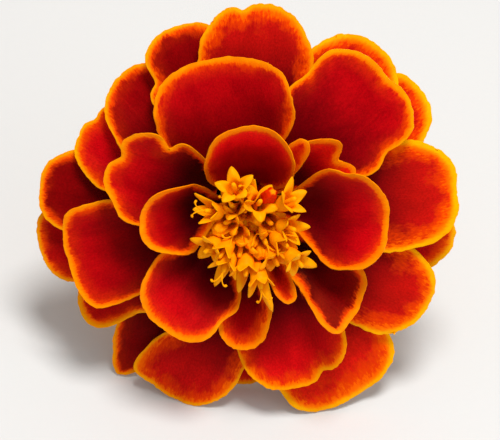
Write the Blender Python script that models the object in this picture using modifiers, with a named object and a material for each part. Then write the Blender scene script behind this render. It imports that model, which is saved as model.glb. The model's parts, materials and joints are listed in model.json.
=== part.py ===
"""A picked double French marigold: one flower head on a short cut peduncle, lying on a flat surface.

The head is modelled upright about its own +Z axis, in millimetres, with the involucre's rim at height 0.
Every floret stands on the receptacle inside the involucre. A ray floret is a narrow claw that opens into a
broad blade, and a disc floret is a flared tube. At the end the whole flower is tipped over until its lowest
blades and the cut end of its peduncle touch the surface.
"""

import math
from collections import namedtuple

import bmesh
import bpy
import numpy as np
from mathutils import Euler, Vector

MM = 0.001

# Involucre, the green cup that holds the florets.
CUP_DEPTH = 14.5
CUP_RADIUS = 6.3
CUP_WALL = 0.7
CUP_STEPS = 24
CUP_NECK_RADIUS = 3.1

# Peduncle, which swells into the receptacle inside the cup.
STEM_LENGTH = 33.0
STEM_BEND = 24.0
STEM_CUT_RADIUS = 1.3
STEM_NECK_RADIUS = 2.3
RECEPTACLE_RADIUS = 4.6
RECEPTACLE_TOP = -9.2
STEM_POINTS = 12

# Florets.
FLORET_FOOT = RECEPTACLE_TOP + 0.3
CLAW_HALF_WIDTH = 0.4
BLADE_THICKNESS = 0.45
DISC_FLORETS = 28
DISC_FOOT_RADIUS = 2.55
DISC_TOP_RADIUS = 5.1
DISC_TOP = 10.2
DISC_TUBE_RADIUS = 0.3
DISC_MOUTH_RADIUS = 0.88
GOLDEN_ANGLE = 137.508

# One row for each ray floret, from the underside of the head to its middle.
# azimuth is where the blade points and claw_turn how far round from it the claw stands. reach is the tip's
# distance from the axis and width the blade's flat width. rise and lean aim the claw's mouth, and tip_z and
# tip_slope the tip. roll lifts the anticlockwise side. funnel and cup are the angles that the cross-section
# bends through at the claw and at the tip. widest is where the blade's sides end and its rounded tip begins,
# and a higher taper keeps the blade narrow for longer before that. square makes the tip broader, and notch,
# at notch_at from -1 to 1 across, cuts into it. skew moves the tip sideways.
Ray = namedtuple(
    "Ray",
    "azimuth reach width tip_z ring rise lean tip_slope roll funnel cup widest taper square notch notch_at"
    " skew claw_turn",
)
ROWS = {
    "outer": dict(ring=4.95, lean=12, tip_slope=-8, funnel=20, cup=12, widest=0.6, taper=1.55),
    "middle": dict(ring=4.15, lean=14, tip_slope=4, funnel=60, cup=35, widest=0.65, taper=1.6),
    "inner": dict(ring=3.35, lean=24, tip_slope=20, funnel=110, cup=80, widest=0.7, taper=1.9),
}


def ray(azimuth, reach, width, tip_z, row="outer", **shape):
    rise = {"outer": 3.4 + 0.5 * tip_z, "middle": 4.6 + 0.5 * tip_z, "inner": 5.0 + 0.4 * tip_z}[row]
    common = dict(rise=rise, roll=0.0, square=0.4, notch=0.0, notch_at=0.0, skew=0.0, claw_turn=0.0)
    return Ray(azimuth, reach, width, tip_z, **{**common, **ROWS[row], **shape})


RAYS = [
    # Outer row, the lowest first.
    ray(346, 23.0, 9.5, -0.8, roll=6),
    ray(269, 20.6, 8.0, -1.4, roll=-8),
    ray(192, 23.8, 9.5, -1.6),
    ray(226, 22.8, 9.0, -1.8, roll=-2),
    ray(30, 23.0, 10.5, -0.5, roll=-9),
    ray(298, 25.4, 13.5, 0.0, roll=-7),
    ray(250.5, 23.6, 11.5, 0.4, roll=9),
    ray(213, 22.0, 8.5, 0.6, roll=4),
    ray(174, 23.1, 10.0, -0.2, roll=9),
    ray(154, 20.6, 10.0, 0.4, roll=10),
    ray(134, 21.0, 10.5, 1.1, roll=10),
    ray(112, 22.2, 10.5, 1.6, roll=10),
    ray(55, 23.2, 11.7, 0.3, roll=-9),
    ray(88, 23.2, 12.8, 2.5, roll=2),
    ray(328.5, 22.4, 11.6, 1.4),
    ray(7, 23.0, 12.5, 2.6),
    # Middle row.
    ray(195, 20.6, 12.0, 4.0, "middle"),
    ray(288, 20.0, 12.5, 4.0, "middle", roll=3, funnel=45),
    ray(46, 21.8, 14.0, 4.6, "middle", notch=1.2, notch_at=-0.4),
    ray(102, 19.2, 15.6, 6.4, "middle", funnel=45, taper=1.8, claw_turn=8),
    ray(158, 16.6, 12.0, 7.0, "middle", roll=-4, funnel=45, cup=70, claw_turn=-9),
    # Inner row.
    ray(323, 15.2, 9.5, 7.0, "inner", ring=4.15),
    ray(39, 13.8, 8.0, 6.4, "inner", taper=2.6, claw_turn=-8),
    ray(5, 15.4, 12.0, 9.8, "inner", taper=2.2),
    ray(232, 15.0, 12.0, 8.5, "inner"),
    ray(267, 13.8, 6.2, 6.4, "inner", ring=4.15, taper=2.3, claw_turn=-9),
    ray(88, 11.6, 10.8, 11.0, "inner", taper=2.7, claw_turn=5),
    ray(179, 11.8, 9.5, 10.0, "inner"),
    ray(57.5, 11.2, 3.0, 8.6, "inner", cup=60, claw_turn=6),
    ray(294, 9.5, 2.0, 9.5, "inner"),
]

BLADE_ROWS = 5
TIP_ROWS = 3
BLADE_COLUMNS = 4


def smooth(x):
    x = np.clip(x, 0.0, 1.0)
    return x * x * (3 - 2 * x)


# ---------------------------------------------------------------------------------- ray florets


def centreline(r):
    """Samples along a floret's middle: distance from the claw's mouth, radius, height and direction."""
    lean, slope = math.radians(r.lean), math.radians(r.tip_slope)
    mouth = np.array([r.ring, 0.0])
    tip = np.array([r.reach, r.tip_z])
    pull = 0.42 * (r.reach - r.ring)
    first = mouth + r.rise * np.array([math.sin(lean), math.cos(lean)])
    second = tip - pull * np.array([math.cos(slope), math.sin(slope)])
    u = np.linspace(0.0, 1.0, 41)[:, None]
    path = (
        mouth * (1 - u) ** 3
        + first * 3 * u * (1 - u) ** 2
        + second * 3 * u**2 * (1 - u)
        + tip * u**3
    )
    path = np.vstack([[r.ring, FLORET_FOOT], path])
    steps = np.diff(path, axis=0)
    along = np.concatenate([[0.0], np.cumsum(np.hypot(*steps.T))]) + FLORET_FOOT
    heading = np.arctan2(steps[:, 1], steps[:, 0])
    heading = np.concatenate([heading[:1], (heading[1:] + heading[:-1]) / 2, heading[-1:]])
    return along, path[:, 0], path[:, 1], heading


def half_width(r, t):
    """Half of a blade's width at the share t of its length, up to where its rounded tip begins."""
    grown = np.clip(t / r.widest, 0.0, 1.0) ** r.taper
    return CLAW_HALF_WIDTH + (r.width / 2 - CLAW_HALF_WIDTH) * np.sin(grown * math.pi / 2)


def flat_outline(r, length):
    """Rows of (across, along) points over a floret laid flat, from its foot to its tip."""
    v = np.linspace(-1.0, 1.0, BLADE_COLUMNS + 1)
    rows = [(v * CLAW_HALF_WIDTH, np.full_like(v, FLORET_FOOT))]
    for t in np.linspace(0.0, r.widest, BLADE_ROWS + 1):
        rows.append((v * half_width(r, t), np.full_like(v, t * length)))
    for k in np.linspace(0.0, 1.0, TIP_ROWS + 1)[1:]:
        across = v * np.sqrt(1 - r.square * k**2) * r.width / 2
        along = k * np.sqrt(1 - r.square * v**2)
        cut = r.notch * np.exp(-(((v - r.notch_at) / 0.22) ** 2)) * k**3
        rows.append((across, length * (r.widest + (1 - r.widest) * along) - cut))
    return np.array([row[0] for row in rows]), np.array([row[1] for row in rows])


def wrapped(r, across, along):
    """The flat floret bent along its centreline, folded across it and turned to its azimuth."""
    s, radius, height, heading = centreline(r)
    length = s[-1]
    t = np.clip(along / length, 0.0, 1.0)
    angle = np.interp(along, s, heading)
    reach = np.interp(along, s, radius)
    rise = np.interp(along, s, height)
    past = np.maximum(along - length, 0.0)
    reach = reach + past * np.cos(angle)
    rise = rise + past * np.sin(angle)

    fold = np.radians(r.funnel + (r.cup - r.funnel) * smooth(t / r.widest))
    bend = fold / (2 * half_width(r, t))
    side = np.sin(bend * across) / bend
    lift = (1 - np.cos(bend * across)) / bend
    roll = math.radians(r.roll) * smooth(t / 0.35)
    side, lift = side * np.cos(roll) - lift * np.sin(roll), side * np.sin(roll) + lift * np.cos(roll)

    held = 1 - smooth(t / 0.5)
    turn = math.radians(r.claw_turn)
    side = side + held * r.ring * math.sin(turn) + r.skew * t**2
    outward = reach - lift * np.sin(angle) - held * r.ring * (1 - math.cos(turn))
    upward = rise + lift * np.cos(angle)

    azimuth = math.radians(r.azimuth)
    x = outward * math.cos(azimuth) - side * math.sin(azimuth)
    y = outward * math.sin(azimuth) + side * math.cos(azimuth)
    return np.stack([x, y, upward], axis=-1)


def ray_floret(name, r, material):
    length = centreline(r)[0][-1]
    across, along = flat_outline(r, length)
    points = wrapped(r, across, along)
    rows, columns = across.shape
    mesh = bmesh.new()
    bmesh.ops.create_grid(mesh, x_segments=columns - 1, y_segments=rows - 1, size=1.0)
    mesh.verts.ensure_lookup_table()
    for vert in mesh.verts:
        column = round((vert.co.x + 1) / 2 * (columns - 1))
        row = round((vert.co.y + 1) / 2 * (rows - 1))
        vert.co = Vector(points[row, column]) * MM
    obj = new_object(name, mesh, material)
    sheet = obj.modifiers.new("thickness", "SOLIDIFY")
    sheet.thickness = BLADE_THICKNESS * MM
    sheet.offset = 0.0
    sheet.use_even_offset = True
    return obj


# --------------------------------------------------------------------------------- disc florets


def disc_floret(name, number, material):
    """A flared tube: upright inside the involucre, then leaning out to its place in the disc."""
    share = math.sqrt((number + 0.5) / DISC_FLORETS)
    azimuth = math.radians(number * GOLDEN_ANGLE)
    foot, top = DISC_FOOT_RADIUS * share, DISC_TOP_RADIUS * share
    height = DISC_TOP + 0.8 * share
    outline = [
        (foot, FLORET_FOOT, 1.0),
        (foot, 0.0, 1.0),
        (foot + 0.45 * (top - foot), 0.5 * height, 1.1),
        (foot + 0.8 * (top - foot), 0.8 * height, 1.6),
        (top, height, DISC_MOUTH_RADIUS / DISC_TUBE_RADIUS),
    ]
    points = [
        ((r * math.cos(azimuth), r * math.sin(azimuth), z), scale) for r, z, scale in outline
    ]
    return tube(name, points, DISC_TUBE_RADIUS, 1, material)


# ------------------------------------------------------------------------ involucre and peduncle


def involucre(material):
    """The cup, turned from its wall's outline."""
    inner = CUP_RADIUS - CUP_WALL
    profile = [
        (CUP_RADIUS, 0.0),
        (CUP_RADIUS, -5.0),
        (CUP_RADIUS - 0.1, -8.5),
        (CUP_RADIUS - 1.3, -12.0),
        (CUP_NECK_RADIUS, -CUP_DEPTH),
        (STEM_NECK_RADIUS + 0.3, -CUP_DEPTH),
        (STEM_NECK_RADIUS + 0.3, -CUP_DEPTH + 0.9),
        (RECEPTACLE_RADIUS - 0.4, -11.2),
        (inner - 0.3, -8.5),
        (inner, -5.0),
        (inner, 0.0),
    ]
    mesh = bmesh.new()
    verts = [mesh.verts.new((x * MM, 0.0, z * MM)) for x, z in profile]
    for a, b in zip(verts, verts[1:] + verts[:1]):
        mesh.edges.new((a, b))
    obj = new_object("involucre", mesh, material)
    turn = obj.modifiers.new("turn", "SCREW")
    turn.steps = turn.render_steps = CUP_STEPS
    turn.use_merge_vertices = True
    turn.merge_threshold = 0.00001
    return obj


def peduncle(material):
    """The stalk, from its cut end along a gentle bend up into the receptacle."""
    points = []
    bend = math.radians(STEM_BEND)
    radius = STEM_LENGTH / bend
    for k in range(STEM_POINTS + 1):
        share = 1 - k / STEM_POINTS
        angle = bend * share
        y = radius * (1 - math.cos(angle))
        z = -CUP_DEPTH - radius * math.sin(angle)
        width = STEM_NECK_RADIUS + (STEM_CUT_RADIUS - STEM_NECK_RADIUS) * smooth(share * 1.6)
        points.append(((0.0, y, z), width))
    points.append(((0.0, 0.0, -CUP_DEPTH + 1.2), STEM_NECK_RADIUS))
    points.append(((0.0, 0.0, -11.0), RECEPTACLE_RADIUS - 0.9))
    points.append(((0.0, 0.0, RECEPTACLE_TOP), RECEPTACLE_RADIUS))
    return tube("peduncle", points, 1.0, 3, material)


# --------------------------------------------------------------------------------------- shared


def tube(name, points, bevel, resolution, material):
    """A capped tube through (place, radius) points, made a mesh with its caps welded on."""
    data = bpy.data.curves.new(name, "CURVE")
    data.dimensions = "3D"
    data.bevel_depth = bevel * MM
    data.bevel_resolution = resolution
    data.use_fill_caps = True
    data.twist_mode = "MINIMUM"
    spline = data.splines.new("POLY")
    spline.points.add(len(points) - 1)
    for target, (place, scale) in zip(spline.points, points):
        target.co = (*(c * MM for c in place), 1.0)
        target.radius = scale
    obj = bpy.data.objects.new(name, data)
    FLOWER.objects.link(obj)
    obj.data.materials.append(material)
    obj.parent = HEAD
    return obj


def new_object(name, mesh, material):
    data = bpy.data.meshes.new(name)
    mesh.to_mesh(data)
    mesh.free()
    data.shade_smooth()
    obj = bpy.data.objects.new(name, data)
    FLOWER.objects.link(obj)
    obj.data.materials.append(material)
    obj.parent = HEAD
    return obj


def colour(name, rgb, roughness):
    material = bpy.data.materials.new(name)
    material.use_nodes = True
    shader = material.node_tree.nodes["Principled BSDF"]
    shader.inputs["Base Color"].default_value = (*rgb, 1.0)
    shader.inputs["Roughness"].default_value = roughness
    shader.inputs["Metallic"].default_value = 0.0
    return material


def evaluated_points():
    """Every point of the flower, in millimetres, in the upright head's own frame."""
    bpy.context.view_layer.update()
    graph = bpy.context.evaluated_depsgraph_get()
    found = {}
    for obj in FLOWER.objects:
        if obj.type not in ("MESH", "CURVE"):
            continue
        evaluated = obj.evaluated_get(graph)
        mesh = evaluated.to_mesh()
        found[obj.name] = np.array([v.co / MM for v in mesh.vertices])
        evaluated.to_mesh_clear()
    return found


def halved(low, high, too_small):
    """The angle in radians where too_small turns false, by halving the range of degrees."""
    low, high = math.radians(low), math.radians(high)
    for _ in range(30):
        middle = (low + high) / 2
        if too_small(middle):
            low = middle
        else:
            high = middle
    return low


def lay_down():
    """Tips the upright flower over until it stands on a blade either side and on its cut end, and centres it."""
    points = evaluated_points()
    stalk = points["peduncle"]
    blades = np.vstack([p for name, p in points.items() if name != "peduncle"])
    left, right = blades[blades[:, 0] < 0], blades[blades[:, 0] > 0]

    def turned(lean, roll):
        return Euler((math.pi / 2 - lean, roll, 0.0), "XYZ")

    def lowest(cloud, lean, roll):
        return (cloud @ np.array(turned(lean, roll).to_matrix())[2]).min()

    lean = roll = 0.0
    for _ in range(12):
        lean = halved(5, 60, lambda a: lowest(stalk, a, roll) > lowest(blades, a, roll))
        roll = halved(-20, 20, lambda a: lowest(left, lean, a) < lowest(right, lean, a))
    pose = turned(lean, roll)
    everything = np.vstack([stalk, blades]) @ np.array(pose.to_matrix()).T
    least, most = everything.min(axis=0), everything.max(axis=0)
    HEAD.rotation_euler = pose
    HEAD.location = -Vector(((least[0] + most[0]) / 2, (least[1] + most[1]) / 2, least[2])) * MM
    bpy.context.view_layer.update()


for old in list(bpy.data.objects):
    bpy.data.objects.remove(old)
FLOWER = bpy.data.collections.new("marigold flower")
bpy.context.scene.collection.children.link(FLOWER)
HEAD = bpy.data.objects.new("head", None)
FLOWER.objects.link(HEAD)

red = colour("ray floret", (0.50, 0.010, 0.008), 0.6)
orange = colour("disc floret", (0.95, 0.32, 0.005), 0.55)
green = colour("involucre", (0.10, 0.22, 0.045), 0.55)
stalk_green = colour("peduncle", (0.16, 0.26, 0.06), 0.55)

for index, row in enumerate(RAYS):
    ray_floret(f"ray_floret_{index + 1:02d}", row, red)
for index in range(DISC_FLORETS):
    disc_floret(f"disc_floret_{index + 1:02d}", index, orange)
involucre(green)
peduncle(stalk_green)
lay_down()
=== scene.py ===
"""The looks of a picked marigold flower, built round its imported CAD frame.

Each ray floret, disc floret, the involucre and the peduncle is a fine mesh that stands for its CAD node. The
florets are shaped in the flower head's own upright frame, in millimetres, with +Z along the head's axis and
the involucre's rim at height 0, and then placed where the frame holds the head.
"""

import json
import math
from collections import namedtuple

import bpy
import numpy as np
from mathutils import Matrix, Vector, noise

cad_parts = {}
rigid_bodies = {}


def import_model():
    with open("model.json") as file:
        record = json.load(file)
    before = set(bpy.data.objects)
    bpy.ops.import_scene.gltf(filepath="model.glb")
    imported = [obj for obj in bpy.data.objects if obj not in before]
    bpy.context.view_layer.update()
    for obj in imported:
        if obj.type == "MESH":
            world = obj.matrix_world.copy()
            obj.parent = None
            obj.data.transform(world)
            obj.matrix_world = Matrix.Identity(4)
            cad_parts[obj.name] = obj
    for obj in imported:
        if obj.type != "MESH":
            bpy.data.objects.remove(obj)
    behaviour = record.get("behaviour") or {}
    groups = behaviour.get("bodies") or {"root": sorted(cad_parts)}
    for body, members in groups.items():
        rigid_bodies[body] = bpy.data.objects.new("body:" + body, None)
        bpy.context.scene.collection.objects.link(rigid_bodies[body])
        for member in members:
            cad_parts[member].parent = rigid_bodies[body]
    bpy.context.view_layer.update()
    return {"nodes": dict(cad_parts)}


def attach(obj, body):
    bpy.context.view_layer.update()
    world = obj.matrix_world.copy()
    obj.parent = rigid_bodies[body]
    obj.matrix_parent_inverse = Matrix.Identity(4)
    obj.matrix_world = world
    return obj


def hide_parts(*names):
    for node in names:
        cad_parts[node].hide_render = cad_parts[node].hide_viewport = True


MM = 0.001

# Camera, in the head's frame: its direction is tipped from the axis towards the head's top.
CAMERA_TILT = 15.0
CAMERA_DISTANCE = 280.0
CAMERA_AIM = (0.1, -1.55)
CAMERA_LENS = 181.4

# Involucre and peduncle, as in the CAD model.
CUP_DEPTH = 14.5
CUP_RADIUS = 6.3
CUP_NECK_RADIUS = 3.1
BRACTS = 11
TOOTH_DEPTH = 2.2
STEM_LENGTH = 33.0
STEM_BEND = 24.0
STEM_CUT_RADIUS = 1.3
STEM_NECK_RADIUS = 2.3
STEM_RIDGES = 9
RECEPTACLE_RADIUS = 4.6
RECEPTACLE_TOP = -9.2
FLORET_FOOT = RECEPTACLE_TOP + 0.3

# Ray florets.
FOOT_HALF_WIDTH = 0.4
CLAW_ROWS = 6

# Disc florets, counted from 0 here. Their tops fill an oval with these half-widths about the disc's middle.
DISC_FLORETS = 28
DISC_FOOT_RADIUS = 2.55
DISC_HALF_WIDTHS = (5.8, 6.7)
DISC_MIDDLE = (0.15, -0.7)
DISC_TOP = 10.2
GOLDEN_ANGLE = 137.508
# The ones whose outer lobes are drawn out into a tongue, and the one that is lined with red.
LONG_LOBES = {23: 2.0, 17: 1.6, 15: 0.9, 20: 0.9, 24: 0.7, 26: 0.5, 22: 1.2, 16: 0.9}
RED_FLORET = 24
# The ones that stray from the disc's even pattern, and how far their tops do, in millimetres.
STRAYS = {16: (1.3, 1.0), 22: (-1.0, -0.4), 27: (0.5, -0.5)}

# Close to the CAD model's table, with the looks of each blade after it.
Ray = namedtuple(
    "Ray",
    "azimuth reach width tip_z ring rise lean tip_slope roll funnel cup widest taper square dents"
    " skew claw claw_turn margin blend gold tone shade ruffle",
)
ROWS = {
    "outer": dict(ring=4.95, lean=20, tip_slope=-8, funnel=24, cup=12, widest=0.6, taper=1.4),
    "middle": dict(ring=4.15, lean=34, tip_slope=6, funnel=60, cup=35, widest=0.65, taper=1.4),
    "inner": dict(ring=3.35, lean=36, tip_slope=28, funnel=120, cup=85, widest=0.6, taper=1.3),
}
LOOKS = {
    "outer": dict(margin=0.52, blend=0.9, gold=0.6, ruffle=0.3),
    "middle": dict(margin=0.57, blend=0.65, gold=0.35, ruffle=0.25),
    "inner": dict(margin=0.62, blend=0.6, gold=0.2, ruffle=0.15),
}
# A blade's tone scales its red, partly its own tint and partly painted light and shade for how lit it stands;
# its shade sets how far its base darkens, partly its own maroon and partly painted shade of the petals over
# it.
COMMON = dict(roll=0.0, square=2.4, dents=(), skew=0.0, claw_turn=0.0, tone=1.0, shade=1.0)


def ray(azimuth, reach, width, tip_z, row="outer", **shape):
    """One ray floret's row, with what its place in the head gives it unless it says otherwise."""
    rise = {"outer": 2.6 + 0.45 * tip_z, "middle": 2.6 + 0.5 * tip_z, "inner": 4.2 + 0.1 * tip_z}[row]
    own = dict(rise=rise, claw=0.1 * width)
    return Ray(azimuth, reach, width, tip_z, **{**COMMON, **own, **LOOKS[row], **ROWS[row], **shape})


# A dent is (direction, depth, spread): its direction from the blade's middle is 90 at the tip and 180 on the
# anticlockwise side, and its spread is in degrees too. A negative depth makes a lobe.
RAYS = [
    # Outer row, the undermost first.
    ray(350, 23.2, 9.5, -0.8, roll=6, margin=0.8, blend=1.1, gold=1.0),
    ray(269, 21.3, 8.0, -1.4, roll=-8, blend=0.6),
    ray(192, 24.2, 10.6, -1.6, square=2.7, tone=0.8),
    ray(233.5, 25.3, 9.2, -1.8, roll=-2, square=1.4, dents=((140, 1.0, 24),), blend=0.5, gold=0.5, tone=0.45),
    ray(34, 23.0, 10.5, -0.5, roll=-9, margin=0.85, blend=1.7, gold=1.0),
    ray(298.5, 25.1, 14.2, 0.5, roll=-7, square=3.3, margin=0.85, blend=2.4, gold=0.9, tone=1.3),
    ray(250, 23.9, 11.6, 0.95, roll=9, dents=((38, -1.1, 13), (6, 2.7, 17)), blend=1.5, tone=1.1),
    ray(214, 22.4, 8.5, 0.6, roll=4, dents=((150, 1.2, 22),), margin=0.65, blend=0.6, tone=0.8),
    ray(175, 23.4, 10.2, -0.2, roll=9, square=2.5, margin=0.5, blend=0.8, tone=0.45),
    ray(154, 20.6, 10.0, 0.4, roll=10, margin=0.5, gold=0.7, tone=1.15, dents=((70, 0.5, 10),)),
    ray(133, 20.6, 10.5, 1.1, roll=10, margin=0.5, tone=0.62),
    ray(112, 22.2, 10.5, 1.6, roll=10, margin=0.5, tone=0.5, dents=((152, 1.0, 9),)),
    ray(52.5, 23.0, 11.4, 0.3, roll=-9, margin=0.85, blend=1.4, gold=0.85),
    ray(
        88, 23.2, 12.6, 2.5, roll=2, square=2.5, dents=((104, 0.5, 7),), margin=0.65, blend=1.8, gold=0.5,
        tone=0.9,
    ),
    ray(329, 23.0, 11.2, 1.4, square=2.5, skew=0.4, margin=0.85, blend=2.0, gold=0.95),
    ray(7, 23.1, 12.5, 2.6, square=2.7, margin=0.95, blend=2.0, gold=1.0, tone=1.03),
    # Middle row.
    ray(195, 20.6, 12.2, 4.0, "middle", square=3.0, widest=0.8, taper=1.25, tone=0.85),
    ray(
        288, 20.7, 12.4, 4.0, "middle", roll=3, funnel=45, dents=((113, 0.8, 10),), blend=1.3, gold=0.5,
        tone=1.2,
    ),
    ray(
        47.5, 21.9, 14.4, 4.6, "middle", square=2.7, blend=0.7, gold=0.5, shade=0.75,
        dents=((10, 0.9, 14), (168, 0.9, 15), (84, 0.4, 11)),
    ),
    ray(
        102, 18.4, 15.4, 6.4, "middle", funnel=45, claw_turn=8, widest=0.63, taper=1.15, square=2.6,
        dents=((60, 0.3, 20),), blend=0.8, gold=0.25, tone=0.95, shade=0.60,
    ),
    ray(
        155, 16.6, 11.6, 7.0, "middle", roll=-4, funnel=60, cup=75, claw_turn=-6,
        dents=((80, 0.9, 10), (14, 1.7, 9), (135, 0.4, 20)),
    ),
    # Inner row.
    ray(
        323, 14.8, 8.8, 7.0, "inner", ring=4.15, taper=1.9, square=3.0, tone=0.36,
        dents=((-8, 1.5, 28), (50, -1.3, 17), (80, -0.7, 16), (150, 0.5, 20)),
    ),
    ray(
        36, 13.4, 8.4, 6.4, "inner", rise=3.4, lean=48, taper=2.2, claw=0.5, claw_turn=-4, roll=6,
        dents=((84, 2.0, 13),), tone=1.45,
    ),
    ray(
        5, 15.2, 12.4, 9.8, "inner", rise=4.6, lean=43, tip_slope=22, funnel=140, taper=1.8, widest=0.66,
        claw=1.5, dents=((78, 0.25, 12), (156, 0.45, 7)), tone=1.15, shade=0.85,
    ),
    ray(
        230, 15.0, 12.0, 8.5, "inner", taper=1.7, lean=42, tip_slope=22, square=2.6,
        dents=((-24, 1.9, 26), (160, 0.5, 14)), blend=0.7,
    ),
    ray(267, 14.8, 6.4, 6.4, "inner", ring=4.15, taper=2.0, claw=0.6, claw_turn=-9, blend=1.1, tone=0.9),
    ray(
        89, 11.6, 11.0, 11.0, "inner", rise=3.6, lean=34, tip_slope=38, funnel=150, cup=105, widest=0.52,
        taper=0.8, square=3.3, claw=2.0, claw_turn=2, dents=((55, 0.25, 16),), tone=1.5, shade=0.55,
    ),
    ray(
        175, 11.8, 9.2, 10.0, "inner", rise=3.6, lean=36, tip_slope=34, funnel=160, cup=120, widest=0.62,
        taper=1.5, square=2.6, claw=1.4, tone=0.85,
    ),
    ray(57.5, 11.2, 3.0, 8.6, "inner", cup=60, claw=0.6, claw_turn=6, margin=0.5),
    ray(298.5, 9.6, 2.6, 9.3, "inner", widest=0.7, square=2.8, claw=0.4, margin=0.4),
]


def smooth(x):
    """A smooth step from 0 to 1."""
    x = np.clip(x, 0.0, 1.0)
    return x * x * (3 - 2 * x)


# -------------------------------------------------------------------------------- the head's frame


def corners(name):
    """A CAD node's points in millimetres."""
    return np.array([v.co for v in frame["nodes"][name].data.vertices]) / MM


def head_frame():
    """The matrix from the head's upright frame in millimetres to the row frame in metres.

    The involucre is turned about the head's axis, so its points spread alike all round that axis, and the
    peduncle bends towards the head's top.
    """
    cup = corners("involucre")
    centre = cup.mean(axis=0)
    spread, directions = np.linalg.eigh(np.cov((cup - centre).T))
    odd = 0 if spread[1] - spread[0] > spread[2] - spread[1] else 2
    axis = directions[:, odd]
    stalk = corners("peduncle").mean(axis=0)
    axis = axis * np.sign((centre - stalk) @ axis)
    rim = ((cup - centre) @ axis).max()
    origin = centre + rim * axis
    top = (stalk - origin) - ((stalk - origin) @ axis) * axis
    top /= np.linalg.norm(top)
    matrix = np.eye(4)
    matrix[:3, 0] = np.cross(top, axis) * MM
    matrix[:3, 1] = top * MM
    matrix[:3, 2] = axis * MM
    matrix[:3, 3] = origin * MM
    return matrix


def to_row(points):
    """Points of the head's frame, in millimetres, as points of the row frame, in metres."""
    return points @ HEAD[:3, :3].T + HEAD[:3, 3]


# ------------------------------------------------------------------------------------ ray florets


def centreline(r):
    """Samples along a floret's middle: distance from the claw's mouth, radius, height and direction."""
    lean, slope = math.radians(r.lean), math.radians(r.tip_slope)
    mouth = np.array([r.ring, 0.0])
    tip = np.array([r.reach, r.tip_z])
    pull = 0.42 * (r.reach - r.ring)
    first = mouth + r.rise * np.array([math.sin(lean), math.cos(lean)])
    second = tip - pull * np.array([math.cos(slope), math.sin(slope)])
    u = np.linspace(0.0, 1.0, 81)[:, None]
    path = (
        mouth * (1 - u) ** 3
        + first * 3 * u * (1 - u) ** 2
        + second * 3 * u**2 * (1 - u)
        + tip * u**3
    )
    path = np.vstack([[r.ring, FLORET_FOOT], path])
    steps = np.diff(path, axis=0)
    along = np.concatenate([[0.0], np.cumsum(np.hypot(*steps.T))]) + FLORET_FOOT
    heading = np.arctan2(steps[:, 1], steps[:, 0])
    heading = np.concatenate([heading[:1], (heading[1:] + heading[:-1]) / 2, heading[-1:]])
    return along, path[:, 0], path[:, 1], heading


def half_width(r, t):
    """Half of a blade's width at the share t of its length, up to where its rounded tip begins."""
    grown = np.clip(t / r.widest, 0.0, 1.0) ** r.taper
    return r.claw + (r.width / 2 - r.claw) * np.sin(grown * math.pi / 2)


def flat_outline(r, length, columns, blade_rows, tip_rows):
    """Rows of (across, along, v) points over a floret laid flat, from its foot to its tip."""
    v = np.sin(np.linspace(-1.0, 1.0, columns + 1) * math.pi / 2 * 0.86) / math.sin(math.pi / 2 * 0.86)
    rows = []
    for along in np.linspace(FLORET_FOOT, -0.6, CLAW_ROWS):
        claw = FOOT_HALF_WIDTH + (r.claw - FOOT_HALF_WIDTH) * smooth(1 - along / FLORET_FOOT)
        rows.append((v * claw, np.full_like(v, along)))
    for t in np.linspace(0.0, r.widest, blade_rows + 1):
        rows.append((v * half_width(r, t), np.full_like(v, t * length)))
    for k in np.sin(np.linspace(0.0, 1.0, tip_rows + 1)[1:] * math.pi / 2):
        across, along = v * np.sqrt(1 - k**2 / 2), k * np.sqrt(1 - v**2 / 2)
        turn = np.arctan2(along, np.abs(across))
        fuller = (np.cos(turn) ** r.square + np.sin(turn) ** r.square) ** (-1 / r.square)
        along = along * fuller * (1 - r.widest) + r.widest
        rows.append((across * fuller * r.width / 2, length * along))
    across, along = dented(r, length, np.array([row[0] for row in rows]), np.array([row[1] for row in rows]))
    return across, along, np.broadcast_to(v, across.shape)


def dented(r, length, across, along):
    """The flat floret with its edge drawn in towards the blade's middle at each dent."""
    middle = length * r.widest * 0.9
    x, y = across / (r.width / 2), (along - middle) / (length - middle)
    turn, out = np.degrees(np.arctan2(y, -x)), np.hypot(x, y)
    pull = np.zeros_like(across)
    for at, depth, spread in r.dents:
        off = (turn - at + 180) % 360 - 180
        pull += depth * np.exp(-((off / spread) ** 2)) * np.clip(out, 0.0, 1.2) ** 4
    gap = np.maximum(np.hypot(across, along - middle), 1.0)
    return across * (1 - pull / gap), middle + (along - middle) * (1 - pull / gap)


def wrapped(r, across, along):
    """The flat floret bent along its centreline, folded across it and turned to its azimuth."""
    s, radius, height, heading = centreline(r)
    length = s[-1]
    t = np.clip(along / length, 0.0, 1.0)
    angle = np.interp(along, s, heading)
    reach = np.interp(along, s, radius)
    rise = np.interp(along, s, height)
    past = np.maximum(along - length, 0.0)
    reach = reach + past * np.cos(angle)
    rise = rise + past * np.sin(angle)

    fold = np.radians(r.funnel + (r.cup - r.funnel) * smooth(t / r.widest))
    bend = fold / (2 * half_width(r, t))
    side = np.sin(bend * across) / bend
    lift = (1 - np.cos(bend * across)) / bend
    roll = math.radians(r.roll) * smooth(t / 0.35)
    side, lift = side * np.cos(roll) - lift * np.sin(roll), side * np.sin(roll) + lift * np.cos(roll)

    held = 1 - smooth(t / 0.5)
    turn = math.radians(r.claw_turn)
    side = side + held * r.ring * math.sin(turn) + r.skew * t**2
    outward = reach - lift * np.sin(angle) - held * r.ring * (1 - math.cos(turn))
    upward = rise + lift * np.cos(angle)

    azimuth = math.radians(r.azimuth)
    x = outward * math.cos(azimuth) - side * math.sin(azimuth)
    y = outward * math.sin(azimuth) + side * math.cos(azimuth)
    return np.stack([x, y, upward], axis=-1)


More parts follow.
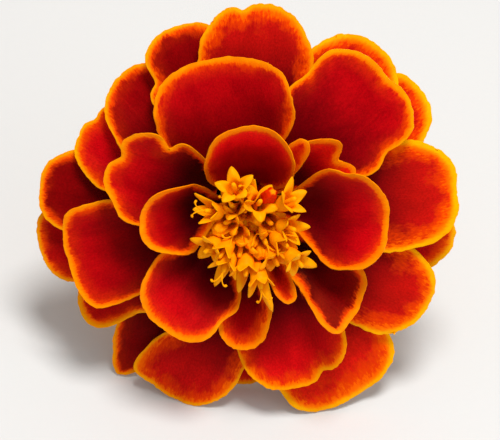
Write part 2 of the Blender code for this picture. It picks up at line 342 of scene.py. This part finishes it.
def edge_distance(across, along):
    """How far each point of the flat floret is from its blade's outline, in millimetres."""
    flat = np.stack([across, along], axis=-1)
    blade = flat[CLAW_ROWS - 1 :]
    rim = np.concatenate([blade[:, 0], blade[-1], blade[::-1, -1]])
    fine = np.linspace(0.0, 1.0, 4, endpoint=False)[:, None, None]
    rim = (rim[:-1] * (1 - fine) + rim[1:] * fine).reshape(-1, 2)
    points = flat.reshape(-1, 2)
    gaps = np.hypot(points[:, None, 0] - rim[None, :, 0], points[:, None, 1] - rim[None, :, 1])
    return gaps.min(axis=1).reshape(across.shape)


def field(points, scale, seed):
    """Smooth noise from about -1 to 1 at points of any shape."""
    flat = points.reshape(-1, points.shape[-1])
    dx, dy, dz = seed * 7.3, -seed * 3.1, seed * 1.7
    heights = [noise.noise(Vector((x * scale + dx, y * scale + dy, dz))) for x, y in flat]
    return np.array(heights).reshape(points.shape[:-1])


def surface_normals(points):
    """The normals of a grid of points, each averaged by area over its neighbours up to two away."""
    rows, columns = points.shape[:2]
    crossed = np.cross(np.gradient(points, axis=0), np.gradient(points, axis=1))
    padded = np.pad(crossed, ((2, 2), (2, 2), (0, 0)), mode="edge")
    total = sum(padded[i : i + rows, j : j + columns] for i in range(5) for j in range(5))
    return total / np.maximum(np.linalg.norm(total, axis=-1, keepdims=True), 1e-12)


def ray_floret(number, r):
    """One ray floret's fine mesh, two faces and the thin edge that joins them."""
    length = centreline(r)[0][-1]
    small = r.width < 4
    columns, blade_rows, tip_rows = (14, 30, 8) if small else (44, 38, 22)
    across, along, v = flat_outline(r, length, columns, blade_rows, tip_rows)
    t = np.clip(along / length, 0.0, 1.0)
    flat = np.stack([across, along], axis=-1)
    near = edge_distance(across, along)

    # The edge is a little uneven, more so on the outer blades.
    wander = field(flat, 0.35, number) * 0.28 + field(flat, 1.4, number + 40) * 0.09
    wander = wander + field(flat, 2.8, number + 60) * 0.09 * min(r.blend, 1.2)
    fade = np.exp(-near / 1.2) * smooth((t - 0.3) / 0.25)
    centre = np.array([0.0, length * r.widest])
    outwards = flat - centre
    outwards = outwards / np.maximum(np.linalg.norm(outwards, axis=-1, keepdims=True), 0.5)
    shifted = flat + outwards * (wander * fade)[..., None]
    points = wrapped(r, shifted[..., 0], shifted[..., 1])

    normals = surface_normals(points)
    swell = 0.22 * field(flat, 0.22, number + 80) * smooth(t / 0.4)
    ruffle = r.ruffle * field(flat, 0.42, number + 120) * np.exp(-near / 2.2) * smooth((t - 0.3) / 0.3)
    ridges = 0.05 * np.cos(v * math.pi * 3.0) * smooth(t / 0.25) * (1 - smooth((t - 0.8) / 0.2))
    points = points + normals * (swell + ruffle + ridges)[..., None]
    normals = surface_normals(points)

    thick = 0.10 + 0.22 * (1 - np.exp(-near / 0.5))
    top = points + normals * (thick / 2)[..., None]
    bottom = points - normals * (thick / 2)[..., None]
    return sheet_mesh(f"ray_{number:02d}", top, bottom, flat, near, t, r)


def sheet_mesh(name, top, bottom, flat, near, t, r):
    """A closed mesh of a blade's two faces and its edge, with what its material reads at each point."""
    rows, columns = near.shape
    count = rows * columns
    index = np.arange(count).reshape(rows, columns)
    a, b = index[:-1, :-1].ravel(), index[:-1, 1:].ravel()
    c, d = index[1:, 1:].ravel(), index[1:, :-1].ravel()
    upper = np.stack([a, b, c, d], axis=1)
    lower = np.stack([a, d, c, b], axis=1) + count
    ring = np.concatenate([index[0, :-1], index[:-1, -1], index[-1, :0:-1], index[:0:-1, 0]])
    after = np.roll(ring, -1)
    edge = np.stack([ring, ring + count, after + count, after], axis=1)
    points = np.vstack([top.reshape(-1, 3), bottom.reshape(-1, 3)])
    obj = mesh_object(name, points, np.vstack([upper, lower, edge]))
    spot = np.concatenate([flat.reshape(-1, 2), np.full((count, 1), r.azimuth)], axis=1)
    vectors(obj, "flat", np.vstack([spot, spot]))
    values(obj, "near", np.concatenate([near.ravel(), near.ravel()]))
    values(obj, "share", np.concatenate([t.ravel(), t.ravel()]))
    values(obj, "face", np.concatenate([np.ones(count), np.zeros(count)]))
    # tone and shade carry painted light and shade as well as the blade's own tint and maroon base.
    values(obj, "tone", np.full(2 * count, r.tone))
    values(obj, "shade", np.full(2 * count, r.shade))
    looks = np.array([[r.margin, r.blend, r.gold]])
    vectors(obj, "looks", np.repeat(looks, 2 * count, axis=0))
    unwrap(obj, np.vstack([flat.reshape(-1, 2), flat.reshape(-1, 2)]), count)
    return obj


def unwrap(obj, flat, count):
    """A map with the upper face on the left half and the lower face on the right."""
    low, high = flat.min(axis=0), flat.max(axis=0)
    spot = (flat - low) / (high - low)
    spot[:, 0] = spot[:, 0] * 0.48 + 0.01
    spot[count:, 0] += 0.5
    spot[:, 1] = spot[:, 1] * 0.98 + 0.01
    corners_of = np.empty(len(obj.data.loops), np.int32)
    obj.data.loops.foreach_get("vertex_index", corners_of)
    layer = obj.data.uv_layers.new(name="OFBake")
    layer.data.foreach_set("uv", spot[corners_of].astype(np.float32).ravel())


# ------------------------------------------------------------------------------------- mesh making


def mesh_object(name, points, faces):
    """An object with a smooth mesh of points that are given in the head's frame."""
    data = bpy.data.meshes.new(name)
    data.from_pydata(to_row(points).tolist(), [], [list(face) for face in faces])
    data.update()
    data.shade_smooth()
    obj = bpy.data.objects.new(name, data)
    bpy.context.scene.collection.objects.link(obj)
    return obj


def values(obj, name, numbers):
    """Gives each point of a mesh a number that its material reads."""
    attribute = obj.data.attributes.new(name, "FLOAT", "POINT")
    attribute.data.foreach_set("value", np.asarray(numbers, np.float32).ravel())


def vectors(obj, name, numbers):
    """Gives each point of a mesh three numbers that its material reads."""
    attribute = obj.data.attributes.new(name, "FLOAT_VECTOR", "POINT")
    attribute.data.foreach_set("vector", np.asarray(numbers, np.float32).ravel())


def along_path(path, local):
    """Local points (x, y, distance) carried along a path of the head's frame."""
    steps = np.diff(path, axis=0)
    lengths = np.concatenate([[0.0], np.cumsum(np.linalg.norm(steps, axis=1))])
    directions = steps / np.linalg.norm(steps, axis=1, keepdims=True)
    directions = np.vstack([directions[:1], (directions[1:] + directions[:-1]) / 2, directions[-1:]])
    where = np.stack([np.interp(local[:, 2], lengths, path[:, k]) for k in range(3)], axis=1)
    heading = np.stack([np.interp(local[:, 2], lengths, directions[:, k]) for k in range(3)], axis=1)
    heading /= np.linalg.norm(heading, axis=1, keepdims=True)
    past = np.maximum(local[:, 2] - lengths[-1], 0.0)[:, None]
    side = np.cross([0.0, 1.0, 0.0], heading)
    side /= np.linalg.norm(side, axis=1, keepdims=True)
    other = np.cross(heading, side)
    return where + heading * past + side * local[:, :1] + other * local[:, 1:2]


def sampled(profile, count):
    """The radii and the heights of count samples along a profile of (radius, height) corners."""
    places = np.linspace(0, len(profile) - 1, count)
    return [np.interp(places, range(len(profile)), side) for side in zip(*profile)]


def tube_grid(rings, around):
    """Faces of a closed grid of rings."""
    index = np.arange(rings * around).reshape(rings, around)
    after = np.roll(index, -1, axis=1)
    return np.stack([index[:-1], after[:-1], after[1:], index[1:]], axis=-1).reshape(-1, 4)


# ------------------------------------------------------------------------------------ disc florets


def disc_path(number):
    """The floret's place in the disc and the path that its tube follows to it."""
    share = math.sqrt((number + 0.5) / DISC_FLORETS)
    azimuth = math.radians(number * GOLDEN_ANGLE)
    height = DISC_TOP + 0.6 * share
    fine = np.linspace(0, 4, 33)
    spread = np.interp(fine, range(5), [0.0, 0.0, 0.18, 0.50, 1.0])[:, None]
    heights = np.interp(fine, range(5), [FLORET_FOOT, 0.0, 0.52 * height, 0.87 * height, height])
    towards = share * np.array([math.cos(azimuth), math.sin(azimuth)])
    foot = DISC_FOOT_RADIUS * towards
    top = np.array(DISC_HALF_WIDTHS) * towards + DISC_MIDDLE + STRAYS.get(number, (0.0, 0.0))
    return share, azimuth, np.column_stack([foot + spread * (top - foot), heights])


def bud_grid(length, turn, angle):
    """A closed floret: a slim tube that swells into a blunt five-ribbed knob."""
    tube = [(0.34, 0.0), (0.34, 0.55), (0.40, 0.78)]
    knob = [(0.64, 0.87), (0.80, 0.93), (0.70, 0.98), (0.36, 1.0), (0.03, 1.0)]
    radius, share = sampled(tube + knob, 30)
    radius = radius[:, None] * (1 + 0.12 * np.cos((angle + turn) * 5))[None, :]
    return radius, np.broadcast_to((share * length)[:, None], radius.shape)


def open_grid(length, turn, angle, lobes, spread, outward, reach):
    """An open floret: a tube with five pointed lobes, longer on the side away from the disc's middle."""
    place = ((angle + turn) / math.tau * 5) % 5
    beside = np.abs(place % 1.0 - 0.5) * 2
    tall = np.interp(place, np.arange(-1, 7) + 0.5, np.take(lobes, np.arange(-1, 7) % 5))
    drawn = reach * np.maximum(np.cos(angle - outward), 0.0) ** 6
    tip = tall * (1 - beside) ** (1 + 0.4 * drawn) * (1 + drawn)
    u = np.linspace(0, 1, 36)[:, None]
    marks = [0, 0.30, 0.42, 0.55, 0.64]
    neck = np.interp(u, marks, [0.32, 0.34, 0.52, 0.88, 1.00])
    rise = np.interp(u, marks, [0, length - 3.6, length - 2.7, length - 1.6, length - 0.8])
    out = np.clip((u - 0.60) / 0.40, 0, 1)
    lean = np.radians(8 + spread * out)
    gone = out * (0.12 + 1.25 * tip[None, :])
    crease = 0.16 * smooth(out) * (1 - beside[None, :])
    return neck + gone * np.sin(lean) - crease, rise + gone * np.cos(lean)


def disc_floret(number, material):
    """A tube with five pointed lobes, or a closed bud, with its anthers and style in the mouth."""
    share, azimuth, path = disc_path(number)
    length = np.linalg.norm(np.diff(path, axis=0), axis=1).sum()
    rng = np.random.default_rng(100 + number)
    length -= 1.8 * (1 - share) + rng.uniform(-0.5, 0.9)
    # The florets in the middle are still closed, and so are a few of the others.
    bud = share < 0.40 or number % 7 == 3
    turn = rng.uniform(0, math.tau)
    angle = np.linspace(0, math.tau, 90, endpoint=False)
    if bud:
        radius, height = bud_grid(length, turn, angle)
    else:
        reach = LONG_LOBES.get(number, 0.35 * share)
        lobes = rng.uniform(0.75, 1.35, 5)
        radius, height = open_grid(length, turn, angle, lobes, rng.uniform(15, 60), azimuth, reach)
    local = np.stack([radius * np.cos(angle), radius * np.sin(angle), height], axis=-1).reshape(-1, 3)
    points = [along_path(path, local)]
    faces = [tube_grid(radius.shape[0], len(angle))]
    along = [np.repeat(np.linspace(0, 1, radius.shape[0]), len(angle))]
    if not bud:
        for part in inner_parts(rng, length, azimuth):
            faces.append(tube_grid(*part.shape[:2]) + sum(len(p) for p in points))
            points.append(along_path(path, part.reshape(-1, 3)))
            along.append(np.ones(part.shape[0] * part.shape[1]))
    obj = mesh_object(f"disc_{number + 1:02d}", np.vstack(points), np.vstack(faces))
    values(obj, "share", np.concatenate(along))
    values(obj, "seed", np.full(len(obj.data.vertices), rng.uniform()))
    values(obj, "red", np.full(len(obj.data.vertices), float(number == RED_FLORET)))
    wall = obj.modifiers.new("wall", "SOLIDIFY")
    wall.thickness = 0.11 * MM
    wall.offset = -1.0
    obj.data.materials.append(material)
    return obj


def inner_parts(rng, length, azimuth):
    """The ring of joined anthers and the style's two curled branches, as grids of local points."""
    around = np.linspace(0, math.tau, 14, endpoint=False)
    column = [(0.26, -2.6), (0.28, -0.8), (0.27, 0.0), (0.20, 0.30), (0.03, 0.38)]
    rings = [[(r * math.cos(a), r * math.sin(a), length + z) for a in around] for r, z in column]
    yield np.array(rings)
    if rng.uniform() < 0.55:
        return
    lean = azimuth + rng.uniform(-0.6, 0.6)
    for side in (-1, 1):
        branch = []
        for step in np.linspace(0, 1, 12):
            bow = side * (0.15 + 0.75 * math.sin(step * 1.9))
            x, y, z = 0.5 * step, bow * step, length + 0.3 + 1.3 * math.sin(step * 2.1)
            thin = 0.10 * (1 - 0.6 * step)
            branch.append([(x + thin * math.cos(a), y + thin * math.sin(a), z) for a in around])
        branch = np.array(branch)
        x = branch[..., 0] * math.cos(lean) - branch[..., 1] * math.sin(lean)
        y = branch[..., 0] * math.sin(lean) + branch[..., 1] * math.cos(lean)
        yield np.stack([x, y, branch[..., 2]], axis=-1)


# ------------------------------------------------------------------------------ involucre, peduncle


def rounded(line, reach):
    """A row of numbers with its corners rounded over reach steps on each side, and its ends held."""
    kernel = np.hanning(2 * reach + 3)[1:-1]
    padded = np.pad(line, reach, mode="reflect", reflect_type="odd")
    return np.convolve(padded, kernel / kernel.sum(), "valid")


def involucre(material):
    """The cup: fused bracts, each a rib of the wall that ends in a tooth of the rim."""
    around = 180
    inner = CUP_RADIUS - 0.5
    outer = [
        (STEM_NECK_RADIUS, -CUP_DEPTH - 0.5),
        (CUP_NECK_RADIUS - 0.1, -CUP_DEPTH - 0.15),
        (CUP_RADIUS - 1.3, -12.0),
        (CUP_RADIUS - 0.2, -8.5),
        (CUP_RADIUS, -5.0),
        (CUP_RADIUS, 0.0),
    ]
    inside = [(inner, 0.0), (inner, -5.0), (inner - 0.3, -8.0)]
    walls = [rounded(side, 8) for side in sampled(outer, 50)]
    radius, height = [np.concatenate(pair) for pair in zip(walls, sampled(inside, 12))]
    angle = np.linspace(0, math.tau, around, endpoint=False)
    bract = np.abs((angle / math.tau * BRACTS) % 1.0 - 0.5) * 2
    rib = 0.16 * (np.cos(angle * BRACTS + math.pi) * 0.5 + 0.5)
    grown = smooth((height + CUP_DEPTH) / 4)[:, None]
    radius = radius[:, None] + grown * rib[None, :]
    free = smooth((height[:, None] + TOOTH_DEPTH) / TOOTH_DEPTH)
    tooth = 1.7 * (1 - bract[None, :]) ** 0.9 * free
    height = height[:, None] + tooth - 0.5 * free
    radius = radius - 0.15 * tooth
    local = np.stack([radius * np.cos(angle), radius * np.sin(angle), height], axis=-1).reshape(-1, 3)
    obj = mesh_object("involucre_cup", local, tube_grid(radius.shape[0], around))
    values(obj, "height", local[:, 2])
    values(obj, "bract", np.tile(1 - bract, radius.shape[0]))
    values(obj, "around", np.tile(angle * CUP_RADIUS, radius.shape[0]))
    obj.data.materials.append(material)
    return obj


def peduncle(material):
    """The stalk, from its cut end along a gentle bend up to the receptacle inside the cup."""
    bend = math.radians(STEM_BEND)
    curve = STEM_LENGTH / bend
    share = np.linspace(1.0, 0.0, 60)
    y = curve * (1 - np.cos(bend * share))
    z = -CUP_DEPTH - curve * np.sin(bend * share)
    path = np.stack([np.zeros_like(share), y, z], axis=1)
    path = np.vstack([path, [[0, 0, -CUP_DEPTH + 1.0], [0, 0, -11.0], [0, 0, RECEPTACLE_TOP]]])
    width = STEM_NECK_RADIUS + (STEM_CUT_RADIUS - STEM_NECK_RADIUS) * smooth(share * 1.6)
    width = np.append(width, [STEM_NECK_RADIUS, RECEPTACLE_RADIUS - 0.9, RECEPTACLE_RADIUS])
    around = 72
    angle = np.linspace(0, math.tau, around, endpoint=False)
    lengths = np.concatenate([[0.0], np.cumsum(np.linalg.norm(np.diff(path, axis=0), axis=1))])
    ribbed = 1 - 0.05 * (0.5 + 0.5 * np.cos(angle * STEM_RIDGES))
    radius = width[:, None] * ribbed[None, :]
    height = np.broadcast_to(lengths[:, None], radius.shape)
    local = np.stack([radius * np.cos(angle), radius * np.sin(angle), height], axis=-1)
    # The cut end, a little hollow in its pith, and the low dome of the receptacle inside the cup.
    cut = [(0.06, 0.25), (0.45, 0.2), (0.7, 0.05), (0.93, 0.0)]
    dome = [(0.93, 0.04), (0.6, 0.18), (0.06, 0.25)]
    low = [local[0] * np.array([scale, scale, 1.0]) + np.array([0.0, 0.0, depth]) for scale, depth in cut]
    high = [local[-1] * np.array([scale, scale, 1.0]) + np.array([0.0, 0.0, rise]) for scale, rise in dome]
    local = np.concatenate([np.array(low), local, np.array(high)])
    points = along_path(path, local.reshape(-1, 3))
    faces = [list(face) for face in tube_grid(len(local), around)]
    faces.append(list(range(around))[::-1])
    faces.append(list(range((len(local) - 1) * around, len(local) * around)))
    obj = mesh_object("peduncle_stalk", points, faces)
    along = np.concatenate([np.full(len(cut), -1.0), lengths, np.full(len(dome), lengths[-1])])
    values(obj, "along", np.repeat(along, around))
    values(obj, "ridge", np.tile(0.5 - 0.5 * np.cos(angle * STEM_RIDGES), len(local)))
    obj.data.materials.append(material)
    return obj


# ---------------------------------------------------------------------------------------- materials


class Nodes:
    """A short way to wire a material's nodes."""

    def __init__(self, name):
        self.material = bpy.data.materials.new(name)
        self.material.use_nodes = True
        self.tree = self.material.node_tree
        self.shader = self.tree.nodes["Principled BSDF"]

    def add(self, kind, **settings):
        node = self.tree.nodes.new(kind)
        for key, value in settings.items():
            setattr(node, key, value)
        return node

    def link(self, source, target):
        if isinstance(source, (int, float)):
            target.default_value = source
        else:
            self.tree.links.new(source, target)

    def attribute(self, name, output="Fac"):
        return self.add("ShaderNodeAttribute", attribute_name=name).outputs[output]

    def math(self, operation, a, b, c=0.0, clamp=False):
        node = self.add("ShaderNodeMath", operation=operation, use_clamp=clamp)
        for k, value in enumerate((a, b, c)):
            self.link(value, node.inputs[k])
        return node.outputs[0]

    def ease(self, value, low, high, to_low=0.0, to_high=1.0):
        node = self.add("ShaderNodeMapRange", interpolation_type="SMOOTHSTEP")
        for k, part in enumerate((value, low, high, to_low, to_high)):
            self.link(part, node.inputs[k])
        return node.outputs[0]

    def split(self, vector):
        node = self.add("ShaderNodeSeparateXYZ")
        self.link(vector, node.inputs[0])
        return node.outputs

    def scaled(self, vector, x, y, z):
        node = self.add("ShaderNodeVectorMath", operation="MULTIPLY")
        self.link(vector, node.inputs[0])
        node.inputs[1].default_value = (x, y, z)
        return node.outputs[0]

    def noise(self, vector, scale, detail=2.0, roughness=0.5):
        node = self.add("ShaderNodeTexNoise")
        self.link(vector, node.inputs["Vector"])
        node.inputs["Scale"].default_value = scale
        node.inputs["Detail"].default_value = detail
        node.inputs["Roughness"].default_value = roughness
        return node.outputs["Fac"]

    def ramp(self, value, stops):
        node = self.add("ShaderNodeValToRGB")
        elements = node.color_ramp.elements
        while len(elements) < len(stops):
            elements.new(0.5)
        for element, (place, colour) in zip(elements, stops):
            element.position = place
            element.color = (*colour, 1.0)
        self.link(value, node.inputs[0])
        return node.outputs[0]

    def mix(self, factor, a, b):
        node = self.add("ShaderNodeMix", data_type="RGBA")
        self.link(factor, node.inputs["Factor"])
        for value, slot in ((a, node.inputs[6]), (b, node.inputs[7])):
            if isinstance(value, tuple):
                slot.default_value = (*value, 1.0)
            else:
                self.link(value, slot)
        return node.outputs[2]

    def bump(self, height, strength, distance):
        node = self.add("ShaderNodeBump")
        node.inputs["Strength"].default_value = strength
        node.inputs["Distance"].default_value = distance
        self.link(height, node.inputs["Height"])
        self.link(node.outputs[0], self.shader.inputs["Normal"])


def petal_material():
    """Velvety red with a golden margin above, darkened towards the base partly by painted shade, and a paler
    orange beneath.
    """
    n = Nodes("petal")
    flat = n.attribute("flat", "Vector")
    near = n.attribute("near")
    share = n.attribute("share")
    face = n.attribute("face")
    tone = n.attribute("tone")
    margin, blend, gold = n.split(n.attribute("looks", "Vector"))

    # A clean bright band at the edge, wider at the tip, then a grainy orange zone as wide as blend.
    band_width = n.math("MULTIPLY", margin, n.ease(share, 0.60, 0.92, 0.68, 1.05))
    grain = n.math("SUBTRACT", n.noise(n.scaled(flat, 4.4, 1.7, 1.0), 1.0, 2.0, 0.6), 0.5)
    clump = n.math("SUBTRACT", n.noise(n.scaled(flat, 1.1, 0.8, 1.0), 1.0, 2.0, 0.5), 0.5)
    stray = n.math("ADD", n.math("MULTIPLY", grain, 1.2), n.math("MULTIPLY", clump, 0.8))
    soft_near = n.math("ADD", near, n.math("MULTIPLY", stray, blend))
    band_near = n.math("ADD", near, n.math("MULTIPLY", stray, 0.35))
    depth = n.math("DIVIDE", band_near, band_width)
    uneven = n.ease(n.noise(n.scaled(flat, 0.42, 0.34, 1.0), 1.0, 2.0), 0.3, 0.7, 0.45, 1.5)
    zone = n.math("MULTIPLY", blend, uneven)
    soft = n.math("DIVIDE", n.math("SUBTRACT", soft_near, n.math("MULTIPLY", band_width, 0.8)), zone)
    golden = n.math("ADD", gold, n.math("MULTIPLY", clump, 0.9), clamp=True)
    edge = n.mix(golden, (0.98, 0.205, 0.0), (1.0, 0.43, 0.0))
    band = n.mix(n.ease(depth, 0.25, 0.95), edge, (0.98, 0.155, 0.0))

    patch = n.noise(n.scaled(flat, 0.30, 0.22, 1.0), 1.0, 3.0, 0.55)
    cloud = n.noise(n.scaled(flat, 0.45, 0.28, 1.0), 1.0, 3.0, 0.55)
    veins = n.noise(n.scaled(flat, 2.2, 0.16, 1.0), 1.0, 2.0, 0.5)
    deep = n.mix(n.ease(cloud, 0.35, 0.65), (0.41, 0.0002, 0.0034), (0.53, 0.0012, 0.0042))
    deep = n.mix(n.math("MULTIPLY", n.ease(veins, 0.45, 0.8), 0.2), deep, (0.66, 0.006, 0.0034))
    blush = n.math("MULTIPLY", n.ease(near, 2.6, 0.6), n.ease(patch, 0.36, 0.66, 0.15, 0.8))
    deep = n.mix(blush, deep, (0.78, 0.024, 0.0022))
    warmth = n.math("MULTIPLY_ADD", blend, 0.3, -0.30, clamp=True)
    deep = n.mix(warmth, deep, (0.62, 0.016, 0.0020))
    # Darker towards the base: partly the blade's own deep maroon, partly painted shade of the petals that
    # overlap it, as strong as each blade's shade.
    shade = n.math("MULTIPLY", n.ease(share, 0.88, 0.38), n.attribute("shade"), clamp=True)
    deep = n.mix(shade, deep, (0.050, 0.0, 0.0024))
    velvet = n.ease(n.noise(n.scaled(flat, 5.0, 3.6, 1.0), 1.0, 2.0, 0.6), 0.25, 0.75, 0.84, 1.16)
    # Each blade's red is scaled by its tone, partly its own tint and partly painted light and shade for how
    # brightly it stands lit, and by a velvety grain.
    toned = n.add("ShaderNodeVectorMath", operation="SCALE")
    n.link(deep, toned.inputs[0])
    n.link(n.math("MULTIPLY", tone, velvet), toned.inputs["Scale"])
    glow = n.mix(n.ease(soft, 0.0, 0.40), (0.96, 0.125, 0.0), (0.80, 0.046, 0.0002))
    inside = n.mix(n.ease(soft, 0.10, 1.15), glow, toned.outputs[0])
    upper = n.mix(n.ease(depth, 0.78, 1.15), band, inside)

    flush = n.math("MULTIPLY", n.ease(near, 0.5, 3.0), n.ease(veins, 0.3, 0.65))
    lower = n.mix(n.math("MULTIPLY", flush, 0.85), (0.80, 0.27, 0.012), (0.40, 0.030, 0.005))
    lower = n.mix(n.ease(share, 0.30, 0.05), lower, (0.40, 0.34, 0.07))
    lower = n.mix(n.ease(near, 1.2, 0.6), lower, edge)
    n.link(n.mix(n.ease(face, 0.35, 0.65), lower, upper), n.shader.inputs["Base Color"])
    n.link(n.ease(n.noise(flat, 6.0, 2.0), 0.2, 0.8, 0.42, 0.62), n.shader.inputs["Roughness"])
    n.shader.inputs["Specular IOR Level"].default_value = 0.10
    n.shader.inputs["Specular Tint"].default_value = (1.0, 0.22, 0.10, 1.0)
    grooves = n.noise(n.scaled(flat, 2.6, 0.22, 1.0), 1.0, 2.0)
    grain = n.noise(flat, 14.0, 2.0)
    n.bump(n.math("ADD", grooves, n.math("MULTIPLY", grain, 0.25)), 0.4, 0.00012)
    return n.material


def floret_material():
    """Golden orange tubes, darker towards their feet down inside the disc."""
    n = Nodes("disc_floret_tube")
    share = n.attribute("share")
    seed = n.attribute("seed")
    red = n.attribute("red")
    place = n.add("ShaderNodeTexCoord").outputs["Object"]
    base = n.ramp(
        share,
        [
            (0.0, (0.62, 0.20, 0.01)),
            (0.35, (1.0, 0.25, 0.0)),
            (0.66, (1.0, 0.31, 0.0)),
            (0.90, (1.0, 0.37, 0.0)),
        ],
    )
    warm = n.mix(n.math("MULTIPLY", seed, 0.35), base, (0.95, 0.22, 0.0))
    mottled = n.mix(n.ease(n.noise(place, 1500.0, 2.0), 0.4, 0.75, 0.0, 0.6), warm, (1.0, 0.42, 0.0))
    lined = n.math("MULTIPLY", red, n.ease(share, 0.97, 0.80))
    n.link(n.mix(lined, mottled, (0.72, 0.02, 0.0)), n.shader.inputs["Base Color"])
    n.shader.inputs["Roughness"].default_value = 0.45
    n.shader.inputs["Specular IOR Level"].default_value = 0.15
    n.shader.inputs["Specular Tint"].default_value = (1.0, 0.55, 0.15, 1.0)
    n.bump(n.noise(place, 6000.0, 2.0), 0.4, 0.00008)
    return n.material


def cup_material():
    """Fused green bracts with paler ribs, sunken oil glands and dark-tipped teeth."""
    n = Nodes("involucre_green")
    place = n.add("ShaderNodeTexCoord").outputs["Object"]
    rib, height = n.attribute("bract"), n.attribute("height")
    around = n.attribute("around")
    tone = n.noise(place, 180.0, 3.0)
    green = n.mix(n.ease(tone, 0.3, 0.7), (0.055, 0.125, 0.018), (0.115, 0.21, 0.035))
    green = n.mix(n.math("MULTIPLY", n.ease(rib, 0.62, 0.95), 0.6), green, (0.21, 0.30, 0.07))
    cells = n.add("ShaderNodeTexVoronoi", voronoi_dimensions="2D", feature="F1")
    spots = n.add("ShaderNodeCombineXYZ")
    n.link(around, spots.inputs[0])
    n.link(n.math("MULTIPLY", height, 0.55), spots.inputs[1])
    n.link(spots.outputs[0], cells.inputs["Vector"])
    cells.inputs["Scale"].default_value = 0.80
    cells.inputs["Randomness"].default_value = 0.8
    gland = n.math("MULTIPLY", n.ease(cells.outputs["Distance"], 0.24, 0.12), n.ease(rib, 0.80, 0.55))
    green = n.mix(n.math("MULTIPLY", gland, 0.8), green, (0.17, 0.070, 0.008))
    green = n.mix(n.math("MULTIPLY", n.ease(height, -1.6, 0.9), 0.7), green, (0.13, 0.045, 0.02))
    n.link(green, n.shader.inputs["Base Color"])
    n.link(n.ease(tone, 0.3, 0.7, 0.38, 0.55), n.shader.inputs["Roughness"])
    n.shader.inputs["Specular IOR Level"].default_value = 0.4
    striae = n.noise(n.scaled(spots.outputs[0], 9.0, 0.8, 1.0), 1.0, 2.0)
    relief = n.math("ADD", n.math("MULTIPLY", striae, 0.7), n.math("MULTIPLY", gland, -0.6))
    n.bump(relief, 0.5, 0.0002)
    return n.material


def stalk_material():
    """A ridged stalk, green with a purple flush below the head, and pale pith at the cut."""
    n = Nodes("peduncle_green")
    place = n.add("ShaderNodeTexCoord").outputs["Object"]
    ridge, along = n.attribute("ridge"), n.attribute("along")
    tone = n.noise(place, 160.0, 3.0)
    green = n.mix(n.ease(tone, 0.3, 0.7), (0.085, 0.165, 0.030), (0.15, 0.24, 0.05))
    green = n.mix(n.math("MULTIPLY", n.ease(ridge, 0.4, 0.95), 0.55), green, (0.25, 0.33, 0.09))
    flush = n.math("MULTIPLY", n.ease(n.noise(place, 70.0, 2.0), 0.35, 0.65), n.ease(along, 8.0, 30.0))
    green = n.mix(n.math("MULTIPLY", flush, 0.55), green, (0.14, 0.035, 0.030))
    pith = n.ease(along, -0.2, -0.8)
    fleck = n.mix(n.ease(n.noise(place, 2600.0, 2.0), 0.35, 0.65), (0.46, 0.50, 0.26), (0.62, 0.64, 0.42))
    n.link(n.mix(pith, green, fleck), n.shader.inputs["Base Color"])
    n.link(n.ease(tone, 0.3, 0.7, 0.42, 0.6), n.shader.inputs["Roughness"])
    n.shader.inputs["Specular IOR Level"].default_value = 0.4
    n.bump(n.noise(place, 2500.0, 3.0), 0.35, 0.0001)
    return n.material


# -------------------------------------------------------------------------------------------- scene


def place_camera():
    tilt = math.radians(CAMERA_TILT)
    back = np.array([0.0, math.sin(tilt), math.cos(tilt)])
    up = np.array([0.0, math.cos(tilt), -math.sin(tilt)])
    right = np.cross(up, back)
    turn = HEAD[:3, :3] / MM
    where = CAMERA_AIM[0] * right + CAMERA_AIM[1] * up + CAMERA_DISTANCE * back
    matrix = np.eye(4)
    matrix[:3, 0], matrix[:3, 1], matrix[:3, 2] = turn @ right, turn @ up, turn @ back
    matrix[:3, 3] = to_row(where)
    camera = bpy.data.objects.new("camera", bpy.data.cameras.new("camera"))
    camera.matrix_world = Matrix(matrix.tolist())
    camera.data.sensor_width = 36.0
    camera.data.lens = CAMERA_LENS
    camera.data.clip_start = 0.01
    bpy.context.scene.collection.objects.link(camera)
    bpy.context.scene.camera = camera


def area_light(name, place, size, power):
    """A round soft light that faces the flower."""
    light = bpy.data.lights.new(name, "AREA")
    light.shape = "DISK"
    light.size = size
    light.energy = power
    obj = bpy.data.objects.new(name, light)
    obj.location = place
    obj.rotation_mode = "QUATERNION"
    obj.rotation_quaternion = (Vector((0.0, 0.0, 0.02)) - Vector(place)).to_track_quat("-Z", "Y")
    bpy.context.scene.collection.objects.link(obj)


def studio():
    world = bpy.data.worlds.new("studio")
    world.use_nodes = True
    world.node_tree.nodes["Background"].inputs[0].default_value = (1.0, 1.0, 1.0, 1.0)
    world.node_tree.nodes["Background"].inputs[1].default_value = 0.45
    bpy.context.scene.world = world
    area_light("key", (0.04, -0.04, 0.47), 0.16, 1.8)
    area_light("fill", (0.35, -0.25, 0.20), 0.30, 0.4)
    n = Nodes("floor")
    n.shader.inputs["Base Color"].default_value = (0.72, 0.71, 0.69, 1.0)
    n.shader.inputs["Roughness"].default_value = 0.75
    n.bump(n.noise(n.add("ShaderNodeTexCoord").outputs["Object"], 900.0, 4.0), 0.15, 0.0002)
    bpy.ops.mesh.primitive_plane_add(size=6.0)
    floor = bpy.context.object
    floor.name = "floor"
    floor.data.materials.append(n.material)
    bpy.context.scene.view_settings.view_transform = "Standard"


def built(obj, node):
    """Has a piece stand for its CAD node."""
    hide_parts(node)
    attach(obj, "root")


for old in list(bpy.data.objects):
    bpy.data.objects.remove(old)
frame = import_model()
HEAD = head_frame()

petal = petal_material()
golden = floret_material()
cup_green = cup_material()
stalk_green = stalk_material()

for number, row in enumerate(RAYS, 1):
    blade = ray_floret(number, row)
    blade.data.materials.append(petal)
    built(blade, f"ray_floret_{number:02d}")
for number in range(DISC_FLORETS):
    built(disc_floret(number, golden), f"disc_floret_{number + 1:02d}")
built(involucre(cup_green), "involucre")
built(peduncle(stalk_green), "peduncle")

place_camera()
studio()
